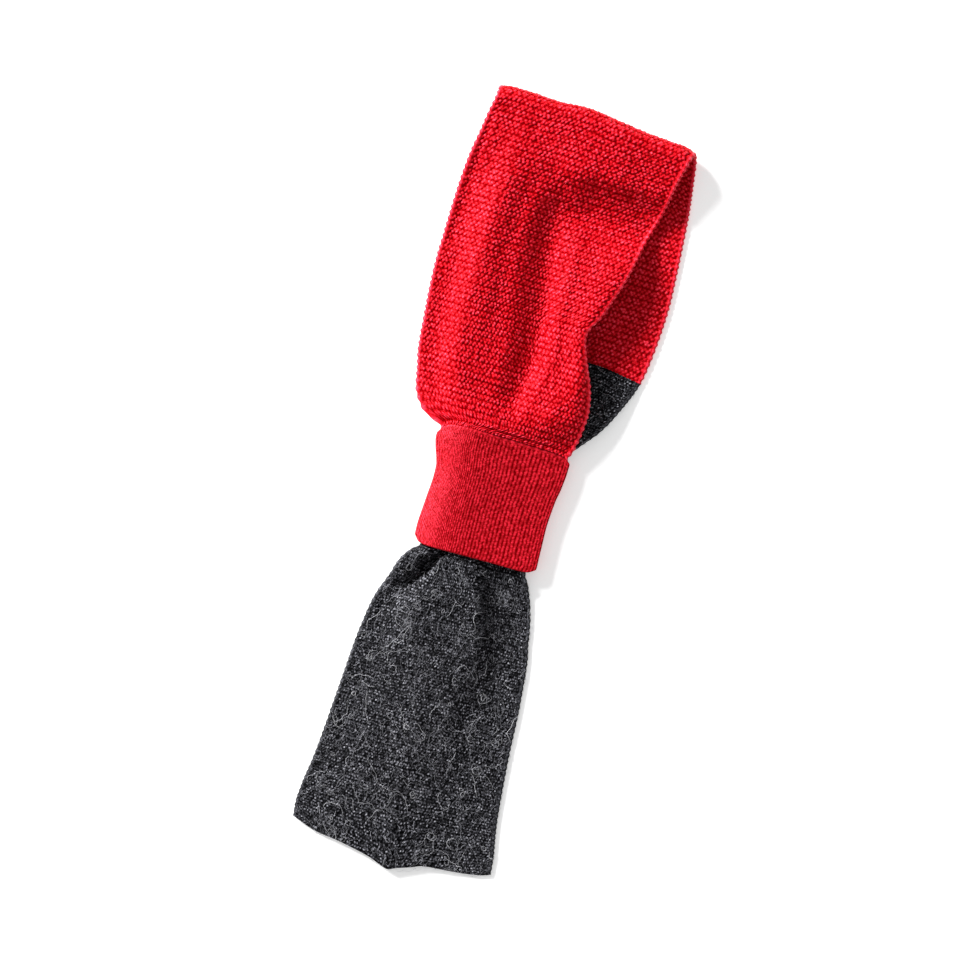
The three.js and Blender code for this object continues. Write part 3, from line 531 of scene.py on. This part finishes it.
def cloth(name, surface, places, first_ridge, *, face, material, knit, depth, edge, thin, hem=False):
    """A knitted wall. surface(u, v) is its middle in mm, places the v of its rows.

    The fine face, out for 1 or in for -1, is the middle moved along its normal by half the wall, with
    the loops of knit(wale, ridge) raised on it, depth mm high. The other face is the same surface with
    a point at every so many columns and rows, as thin says. A selvedge chain runs along both sides,
    a loop a ridge: it moves the edge out and in by edge mm times the cosine of the ridges. A strip
    closes the edges."""
    step_c, step_r = thin
    u = np.linspace(0, 1, COLUMNS + 1)[None, :]
    middle = surface(u, places[:, None])
    rows, columns = middle.shape[:2]
    wale = np.broadcast_to(u * WALES, (rows, columns))
    ridge = (first_ridge + np.arange(rows) / ROWS_A_RIDGE)[:, None]
    ridge = np.broadcast_to(ridge, (rows, columns))
    span = np.linalg.norm(middle[:, -1] - middle[:, 0], axis=-1)[:, None]
    side = np.minimum(u, 1 - u) * span
    out = across_of(middle)
    way = np.gradient(middle, axis=1)
    outward = way / np.linalg.norm(way, axis=-1, keepdims=True) * np.where(u < 0.5, -1, 1)[..., None]
    which = wale * 0 + (u > 0.5)  # each side strays in its own way
    chain = np.cos(2 * np.pi * (ridge + CHAIN_STRAY * wander(ridge, which, 2.0, 5)))
    wave = edge * chain * np.maximum(0, 1 - side / SCALLOP_REACH) ** 2
    middle = middle + outward * wave[..., None]
    from_hem = np.full((rows, columns), EDGE_ROUND)
    if hem:
        from_hem = np.linalg.norm(middle - middle[-1:], axis=-1)
    share = edge_share(side) * edge_share(from_hem)
    loops = knit(wale, ridge)
    rim = (RIM_HEIGHT + edge + edge / 2 * chain) * np.sqrt(
        np.maximum(0, 1 - ((side - RIM_AT) / RIM_HALF) ** 2))
    loops = mix(np.maximum(rim, RIM_LEAST), loops, ease((side - LOOPS_FROM) / LOOPS_IN))
    thick = WALL / 2 + depth * (loops - LOOP_HEIGHT)
    skin = [middle + out * (s * thick * share)[..., None] for s in (face, -face)]
    fine, plain = skin[0], skin[1][::step_r, ::step_c]
    for grid in (fine, plain):
        grid[..., 2] = np.maximum(grid[..., 2], ABOVE_TABLE)
    number = np.arange(rows * columns).reshape(rows, columns)
    other = number.size + np.arange(plain.shape[0] * plain.shape[1]).reshape(plain.shape[:2])
    r, c = np.meshgrid(np.arange(rows), np.arange(columns), indexing="ij")
    match = other[(r + step_r // 2) // step_r, (c + step_c // 2) // step_c]
    ring = [np.concatenate([n[0], n[1:, -1], n[-1, -2::-1], n[-2:0:-1, 0]])
            for n in (number, match)]
    a, b = ring[0], np.roll(ring[0], -1)
    p, q = ring[1], np.roll(ring[1], -1)
    wide = p != q
    strip = np.stack([b, a, p, q], -1)[wide]
    slim = np.stack([b, a, p], -1)[~wide]
    faces = [quads(number), quads(other)[:, ::-1], strip, slim]
    if face < 0:
        faces = [f[:, ::-1] for f in faces]
    # The loops' height, from which the material paints shade between the loops and highlight on their
    # tops
    relief = np.concatenate([loops.ravel(), loops[::step_r, ::step_c].ravel()])
    points = np.concatenate([fine.reshape(-1, 3), plain.reshape(-1, 3)])
    return add_mesh(name, to_part(points), faces, material, relief)


TAPER = 0.6  # share by which a fibre thins to its ends
ROOTED = 0.25  # how deep its ends sit in the wall
FIBRE_CLEAR = 0.01  # how much higher above the table it stays than a wall


def bounce(x, low, high):
    """x folded back at both ends of its range, as a ball bounces between walls."""
    run = (x - low) % (2 * (high - low))
    return low + np.minimum(run, 2 * (high - low) - run)


def fibres(name, place, *, count, steps, area, length, curl, thick, lift, material, seed):
    """Loose fibres: three-sided tubes, tapered and closed at both ends, that wander over the cloth.

    Each path turns by a random walk of curl radians a step, over the flat area (a0, a1, b0, b1) in mm,
    and rises by half a sine wave of up to lift mm between its rooted ends. Its radius is up to thick
    mm in the middle and goes down by TAPER times the cube of the share of the way to an end.
    place(a, b) gives the point on the cloth's face and the normal there."""
    rng = np.random.default_rng(seed)
    start = np.stack([rng.uniform(area[0], area[1], count), rng.uniform(area[2], area[3], count)])
    size = rng.uniform(length[0], length[1], count)[:, None] / steps
    bend = rng.normal(0, curl, (count, 1)) + rng.normal(0, curl, (count, steps))
    heading = rng.uniform(0, 2 * np.pi, (count, 1)) + np.cumsum(bend, axis=1)
    a, b = start[0][:, None], start[1][:, None]
    a = np.concatenate([a, a + np.cumsum(np.cos(heading) * size, 1)], 1)
    b = np.concatenate([b, b + np.cumsum(np.sin(heading) * size, 1)], 1)
    a, b = bounce(a, area[0], area[1]), bounce(b, area[2], area[3])
    t = np.linspace(0, 1, steps + 1)[None, :]
    point, normal = place(a, b)
    rise = rng.uniform(0.2, 1, (count, 1)) * lift * np.sin(np.pi * t) - ROOTED
    path = point + normal * rise[..., None]
    ahead = np.gradient(path, axis=1)
    ahead /= np.linalg.norm(ahead, axis=-1, keepdims=True) + 1e-9
    side = np.cross(ahead, normal)
    side /= np.linalg.norm(side, axis=-1, keepdims=True) + 1e-9
    up = np.cross(side, ahead)
    radius = rng.uniform(0.6, 1, (count, 1)) * thick * (1 - TAPER * np.abs(2 * t - 1) ** 3)
    turn = np.arange(3) * 2 * np.pi / 3
    ring = (side[:, :, None] * np.cos(turn)[:, None] + up[:, :, None] * np.sin(turn)[:, None])
    tube = path[:, :, None] + ring * radius[..., None, None]
    tube[..., 2] = np.maximum(tube[..., 2], ABOVE_TABLE + FIBRE_CLEAR)
    number = np.arange(count * (steps + 1) * 3).reshape(count, steps + 1, 3)
    there = np.roll(number, -1, axis=2)
    walls = np.stack([number[:, :-1], number[:, 1:], there[:, 1:], there[:, :-1]], -1)
    ends = [number[:, 0], number[:, -1, ::-1]]
    tone = np.broadcast_to(rng.uniform(0, 1, (count, 1, 1)), number.shape)
    return add_mesh(name, to_part(tube), [walls.reshape(-1, 4), *ends], material, tone)


def linear(hex_colour):
    """sRGB hex to linear RGBA."""
    value = np.array([int(hex_colour[i:i + 2], 16) / 255 for i in (1, 3, 5)])
    value = np.where(value <= 0.04045, value / 12.92, ((value + 0.055) / 1.055) ** 2.4)
    return (*value.tolist(), 1.0)


def add(tree, kind, inputs=(), stops=(), **settings):
    """A node with its settings. Inputs are values, sockets or nodes, whose first live output is taken.

    Stops are a colour ramp's places and hex colours."""
    node = tree.nodes.new(kind)
    for key, value in settings.items():
        setattr(node, key, value)
    for key, value in (inputs.items() if isinstance(inputs, dict) else enumerate(inputs)):
        if isinstance(value, bpy.types.Node):
            value = next(output for output in value.outputs if output.enabled)
        if isinstance(value, bpy.types.NodeSocket):
            tree.links.new(value, node.inputs[key])
        else:
            node.inputs[key].default_value = value
    for i, (at, colour) in enumerate(stops):
        ramp = node.color_ramp.elements
        mark = ramp[i] if i < 2 else ramp.new(at)
        mark.position, mark.color = at, linear(colour)
    return node


FIBRE_BUMP = 0.35  # depth of the fibres' relief in the finish, in mm
SHINE_FROM, SHINE_GAIN = 0.2, 2.0  # tone at which the fibres begin to shine, and how fast


def knit_material(name, stops, *, loops, fibre, mottle, rough, shine, tint):
    """A knitted yarn's finish. Colour goes by how high on its loop a spot lies, which paints shade
    between the loops and highlight on their tops, by how its fibres catch the light and by how evenly
    it took the dye.
    loops is a share; fibre and mottle are (share, size in mm).

    stops are the colours from the painted shade between the loops to the painted highlight on top of
    them, where alone the fibres shine."""
    material = bpy.data.materials.new(name)
    material.use_nodes = True
    tree = material.node_tree
    tree.nodes.clear()
    place = add(tree, "ShaderNodeTexCoord").outputs["Object"]
    high = add(tree, "ShaderNodeAttribute", attribute_name="relief").outputs["Fac"]
    fine = add(tree, "ShaderNodeTexNoise",
               {"Vector": place, "Scale": 1 / (fibre[1] * MM), "Detail": 3.0, "Roughness": 0.65})
    broad = add(tree, "ShaderNodeTexNoise",
                {"Vector": place, "Scale": 1 / (mottle[1] * MM), "Detail": 2.0})
    # Tone from the loop's height: painted shade low between the loops, painted highlight on their tops
    tone = add(tree, "ShaderNodeMath", (high, loops, -loops / 2 + 0.5), operation="MULTIPLY_ADD")
    tone = add(tree, "ShaderNodeMath", (fine, fibre[0], tone), operation="MULTIPLY_ADD")
    tone = add(tree, "ShaderNodeMath", (broad, mottle[0], tone), operation="MULTIPLY_ADD")
    tone = add(tree, "ShaderNodeMath", (tone, (fibre[0] + mottle[0]) / 2), operation="SUBTRACT")
    colour = add(tree, "ShaderNodeValToRGB", (tone,), stops)
    bump = add(tree, "ShaderNodeBump", {"Height": fine, "Distance": FIBRE_BUMP * MM, "Strength": 1.0})
    glint = add(tree, "ShaderNodeMath", (tone, SHINE_GAIN * shine, -SHINE_GAIN * SHINE_FROM * shine),
                operation="MULTIPLY_ADD", use_clamp=True)
    shader = add(tree, "ShaderNodeBsdfPrincipled", {
        "Base Color": colour.outputs[0], "Normal": bump, "Roughness": rough,
        "Specular IOR Level": glint, "Specular Tint": linear(tint)})
    add(tree, "ShaderNodeOutputMaterial", (shader,))
    return material


def fibre_material(name, stops):
    """Single fibres: each has one tone of its own between the stops, with a soft shine."""
    material = bpy.data.materials.new(name)
    material.use_nodes = True
    tree = material.node_tree
    tree.nodes.clear()
    own = add(tree, "ShaderNodeAttribute", attribute_name="relief").outputs["Fac"]
    colour = add(tree, "ShaderNodeValToRGB", (own,), stops)
    shader = add(tree, "ShaderNodeBsdfPrincipled", {
        "Base Color": colour.outputs[0], "Roughness": 0.5})
    add(tree, "ShaderNodeOutputMaterial", (shader,))
    return material


def make_floor():
    """A pale table top, larger than any view."""
    material = bpy.data.materials.new("pale_matt_table_top")
    material.use_nodes = True
    tree = material.node_tree
    tree.nodes.clear()
    shader = add(tree, "ShaderNodeBsdfPrincipled", {
        "Base Color": linear("#f7f7f7"), "Roughness": 0.9, "Specular IOR Level": 0.0,
        "Emission Color": (1, 1, 1, 1), "Emission Strength": 0.34})
    add(tree, "ShaderNodeOutputMaterial", (shader,))
    size = 6.0  # half its side, in metres
    corners = np.array([[-size, -size, 0], [size, -size, 0], [size, size, 0], [-size, size, 0]])
    add_mesh("table_top", corners, [np.array([[0, 1, 2, 3]])], material)


def make_light():
    """Weak daylight all round, and one broad low light from the upper left of the picture."""
    world = bpy.data.worlds.new("studio")
    world.use_nodes = True
    back = world.node_tree.nodes["Background"]
    back.inputs["Color"].default_value = (1, 1, 1, 1)
    back.inputs["Strength"].default_value = 0.5
    bpy.context.scene.world = world
    world.cycles_visibility.glossy = False
    sun = bpy.data.lights.new("window", "SUN")
    sun.energy = 8.8
    sun.angle = math.radians(20)
    lamp = bpy.data.objects.new("window", sun)
    height, around = math.radians(22), math.radians(152)  # around goes from +X towards +Y
    lamp.rotation_euler = (math.pi / 2 - height, 0, around + math.pi / 2)
    bpy.context.scene.collection.objects.link(lamp)
    bpy.context.scene.view_settings.view_transform = "Standard"


PICTURE_SIDE = 648.0  # width of the picture at the table
PICTURE_MIDDLE = (-10.1, -1.6, 0.0)
PICTURE_TURN = 16.5  # degrees by which the scarf lies turned in it


def make_camera():
    """Straight down from far off, turned so that the scarf lies at the picture's slant."""
    camera = bpy.data.cameras.new("overhead")
    camera.lens = 300
    camera.sensor_width = 36
    middle = to_part(np.array(PICTURE_MIDDLE))
    far = PICTURE_SIDE * MM * camera.lens / camera.sensor_width
    obj = bpy.data.objects.new("overhead", camera)
    obj.location = (middle[0], middle[1], far)
    obj.rotation_euler = (0, 0, math.radians(PICTURE_TURN))
    bpy.context.scene.collection.objects.link(obj)
    bpy.context.scene.camera = obj


make_camera()
make_light()
make_floor()

# Wool blend, dyed red and knitted in garter stitch, with a soft nap. The colour paints highlight
# on the loops and shade in the gaps between them
RED = knit_material(
    "garter_knit_red_wool_blend",
    ((0.0, "#520002"), (1.0, "#ff7c92"), (0.3, "#a80005"), (0.56, "#e40012"), (0.8, "#ff2e48")),
    loops=0.65, fibre=(0.9, 0.8), mottle=(0.15, 9.0), rough=0.5, shine=0.6, tint="#ffa4c8")
# The same yarn in 1x1 rib: fine upright columns of small loops, with painted shade between them
# and painted highlight on their tops
RIB = knit_material(
    "rib_knit_red_wool_blend",
    ((0.0, "#3c0001"), (1.0, "#ff6880"), (0.3, "#8a0004"), (0.56, "#c4000d"), (0.8, "#f81a32")),
    loops=0.7, fibre=(0.45, 0.7), mottle=(0.12, 9.0), rough=0.5, shine=0.7, tint="#ffa4c8")
# Felted melange: near-black and grey fibres carded together, so its tone differs from spot to spot.
# Over that, painted shade darkens the gaps between the loops and painted highlight lightens their tops
CHARCOAL = knit_material(
    "garter_knit_charcoal_melange",
    ((0.0, "#040405"), (1.0, "#c0c0c8"), (0.35, "#111113"), (0.6, "#333338"), (0.8, "#66666e")),
    loops=0.9, fibre=(1.5, 0.9), mottle=(0.2, 5.0), rough=0.7, shine=0.3, tint="#ffffff")
# Kemp: coarse pale hairs that took no dye, and their darker neighbours
NAP = fibre_material("melange_nap", ((0.0, "#303035"), (1.0, "#c4c4cc"), (0.6, "#707078")))
KEMP = fibre_material("kemp_pale_grey", ((0.0, "#54545a"), (1.0, "#e6e6ea"), (0.6, "#9a9aa0")))
# Loose ends of the red yarn, lighter where single fibres let light through
FLUFF = fibre_material("wool_fluff_red", ((0.0, "#b00010"), (1.0, "#ff3c50")))


def rows_between(start, end):
    """Row places from start to end, ROWS_A_RIDGE of them to each ridge, an even number of steps."""
    ridges = max(1, round(abs(end - start) / RIDGE))
    return np.linspace(start, end, ROWS_A_RIDGE * ridges + 1)


APEX = ROLL_RUN * math.pi / 2  # length of half the roll


def front_path(u, v):
    """The front up to ROLL_Y, and then the first quarter turn of the roll."""
    return np.where((v <= ROLL_Y)[..., None], front_mid(u, np.minimum(v, ROLL_Y)),
                    roll_mid(u, np.maximum(v - ROLL_Y, 0) / ROLL_RUN))


def back_path(u, v):
    """The second quarter turn of the roll, and then the band underneath, v going down."""
    return np.where((v < ROLL_Y)[..., None], back_mid(u, np.minimum(v, ROLL_Y)),
                    roll_mid(u, np.pi - np.maximum(v - ROLL_Y, 0) / ROLL_RUN))


front_rows = rows_between(SEAM_Y, ROLL_Y + APEX)
front = cloth("front_band_knit", front_path, front_rows, 0.0, face=1, material=RED, knit=garter,
              thin=(5, 3), **RED_LOOPS)
ridge_at = (len(front_rows) - 1) / ROWS_A_RIDGE
back_rows = rows_between(ROLL_Y + APEX, COLOUR_Y)
back_red = cloth("back_band_red_knit", back_path, back_rows, ridge_at, face=-1, material=RED,
                 knit=garter, thin=(1, 2), **RED_LOOPS)
ridge_at += (len(back_rows) - 1) / ROWS_A_RIDGE
inside_rows = rows_between(COLOUR_Y, INSIDE_Y)
back_charcoal = cloth("back_band_charcoal_knit", back_mid, inside_rows, ridge_at, face=-1,
                      material=CHARCOAL, knit=felted, thin=(1, 2), **FELT_LOOPS)
ridge_at += (len(inside_rows) - 1) / ROWS_A_RIDGE
tail_rows = rows_between(INSIDE_Y, HEM_Y)
tail = cloth("tail_knit", tail_mid, tail_rows, ridge_at, face=-1, material=CHARCOAL, knit=felted,
             thin=(5, 3), hem=True, **FELT_LOOPS)


def link_chain(turns, down, leg):
    """Relief of the linking row: half an ellipse down the row, times a bead for every two columns
    that strays a little. Its second value is how far down the row reaches at each turn."""
    link = LINK_ROW * (1 + LINK_STRAY * wander(turns * 6, down, 1.0, 32))
    chain = np.sqrt(np.maximum(0, 1 - (2 * down / link - 1) ** 2))
    beads = (BEAD_HEIGHT + BEAD_SWING * np.cos(np.pi * leg)
             + BEAD_STRAY * wander(turns * 40, down, 1.0, 33))
    return chain * beads, link


def make_cuff():
    """The doubled rib tube: rows of points round it, from the upper edge down the outside, round the
    fold at the lower edge and up the inside.

    The outside is moved along its normal by the height of its loops, which stand in upright columns,
    two to a rib, less a slanting crease, a bell curve across its line. Both fade out where the tube
    rests on the table. The linking row takes their place at the top, the upper edge is thin, and the
    inside is plain."""
    steps = RIBS * RIB_STEPS
    turns = equal_turns(0, 2 * np.pi, steps)[:-1][None, :]
    courses = round(CUFF_LENGTH / COURSE)
    along = np.linspace(1, 0, COURSE_STEPS * courses + 1)[:, None]
    outer, out = cuff_outside(turns, along), cuff_out(turns, along)
    leg = np.broadcast_to(2 * np.arange(steps) / RIB_STEPS, outer.shape[:2])
    course = np.broadcast_to(along * courses, outer.shape[:2])
    legs = stitches(course, leg, COURSE, CUFF_ROUND / (2 * RIBS), long=1.25, short=0.8, lean=0.2,
                    pair=0.0, seed=31)
    legs = np.minimum(legs, LEG_TOP)
    lift = ease((outer[..., 2] - RELIEF_FROM) / RELIEF_IN)
    down, left = (1 - along) * CUFF_LENGTH, along * CUFF_LENGTH
    over = ease(np.sin(turns) / OVER_IN)
    share = (1 + np.cos(turns)) / 2
    chain, link = link_chain(turns, down, leg)
    legs = mix(legs, chain, ease((link - down) / LINK_BLEND) * over)
    crease = np.exp(-((down - mix(CREASE_LEFT, CREASE_RIGHT, share)) / CREASE_HALF) ** 2)
    crease = crease * mix(0, CREASE_SHARE, share) * over
    relief = (LEG_DEPTH * (legs - LEG_LEVEL) - CREASE_DEEP * crease) * lift
    relief = relief - LIP_THIN * np.maximum(0, 1 - down / LIP_LONG) ** 2
    skin = outer + out * relief[..., None]
    skin[..., 1] = skin[..., 1] + FOLD_ROUND * np.maximum(0, 1 - left / TUCK_LONG) ** 2 * TUCK
    depths = np.array(FOLD_DEPTHS)[:, None, None]
    tip = cuff_outside(turns, 0.0) - cuff_out(turns, 0.0) * depths
    tip[..., 1] += np.array(FOLD_RISES)[:, None]
    inner_along = np.linspace(INNER_FROM, 1, INNER_ROWS)[:, None]
    inner = cuff_outside(turns, inner_along) - cuff_out(turns, inner_along) * CUFF_WALL
    rows = skew(np.concatenate([skin, tip, inner]))
    rows[..., 2] = np.maximum(rows[..., 2], ABOVE_TABLE)
    number = np.arange(len(rows) * steps).reshape(len(rows), steps)
    loop = np.concatenate([number, number[:1]])
    loop = np.concatenate([loop, loop[:, :1]], 1)
    plain = np.full((len(rows) - len(skin), steps), 0.5)
    # Tone for the colour: painted shade between the columns and in the crease, painted highlight on
    # the loops' tops; the inside is even
    painted_light_tone = np.concatenate([legs - CREASE_DEEP * crease, plain])
    return add_mesh("cuff_rib_knit", to_part(rows), [quads(loop)], RIB, painted_light_tone)


cuff = make_cuff()


def on_face(surface):
    """Where a loose fibre lies: (a, b), in mm across and along, to the wall's upper face and normal.

    The point is the wall's middle moved along its normal by half the wall, less by a square root near
    a side edge. Past that edge the place goes on straight out."""
    inset, least, clear = 0.004, 0.05, 0.1  # shares of the width and of the half wall, and mm
    across, along, edge = 0.002, 0.2, 2.0  # steps for the normal, and where the face starts to fall

    def place(a, b):
        u = np.clip(a / WIDTH, inset, 1 - inset)
        middle = surface(u, b)
        way = surface(u + across, b) - surface(u - across, b)
        rise = surface(u, b + along) - surface(u, b - along)
        out = np.cross(way, rise)
        out /= np.linalg.norm(out, axis=-1, keepdims=True)
        out = np.where(out[..., 2:] < 0, -out, out)
        past = a - np.clip(a, 0, WIDTH)
        share = np.sqrt(np.clip(np.minimum(a, WIDTH - a) / edge, least, 1))[..., None]
        point = middle + out * (WALL / 2 + clear) * share
        point[..., 0] += past
        return point, out
    return place


# Areas run a little past the selvedges and the hem, so that some fibres stick out there. That of
# back_hairs is the part that shows
nap = fibres(
    "tail_nap", on_face(tail_mid), area=(-1.5, WIDTH + 1.5, HEM_Y - 1.5, -57), count=4100, steps=5,
    length=(3, 8), curl=0.6, thick=0.08, lift=0.6, material=NAP, seed=41)
hairs = fibres(
    "tail_kemp_hairs", on_face(tail_mid), area=(-3, WIDTH + 3, HEM_Y - 3, -58), count=330, steps=14,
    length=(10, 28), curl=0.4, thick=0.095, lift=1.1, material=KEMP, seed=44)
back_hairs = fibres(
    "back_band_nap", on_face(back_mid), area=(98, WIDTH + 2, 40, 94), count=260, steps=6,
    length=(3, 9), curl=0.45, thick=0.07, lift=0.7, material=NAP, seed=42)
fluff = fibres(
    "front_band_fluff", on_face(front_mid), area=(-1, WIDTH + 1, 34, 246), count=350, steps=6,
    length=(3, 7), curl=0.6, thick=0.055, lift=0.5, material=FLUFF, seed=43)

for piece, node, slot in (
    (front, "front_band_red", "red_garter_knit"),
    (back_red, "back_band_red", "red_garter_knit"),
    (back_charcoal, "back_band_charcoal", "charcoal_garter_knit"),
    (tail, "tail_charcoal", "charcoal_garter_knit"),
    (cuff, "rib_cuff", "red_rib_knit"),
    (nap, None, "charcoal_garter_knit"),
    (hairs, None, "charcoal_garter_knit"),
    (back_hairs, None, "charcoal_garter_knit"),
    (fluff, None, "red_garter_knit"),
):
    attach(piece, "root")
    if node:
        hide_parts(node)
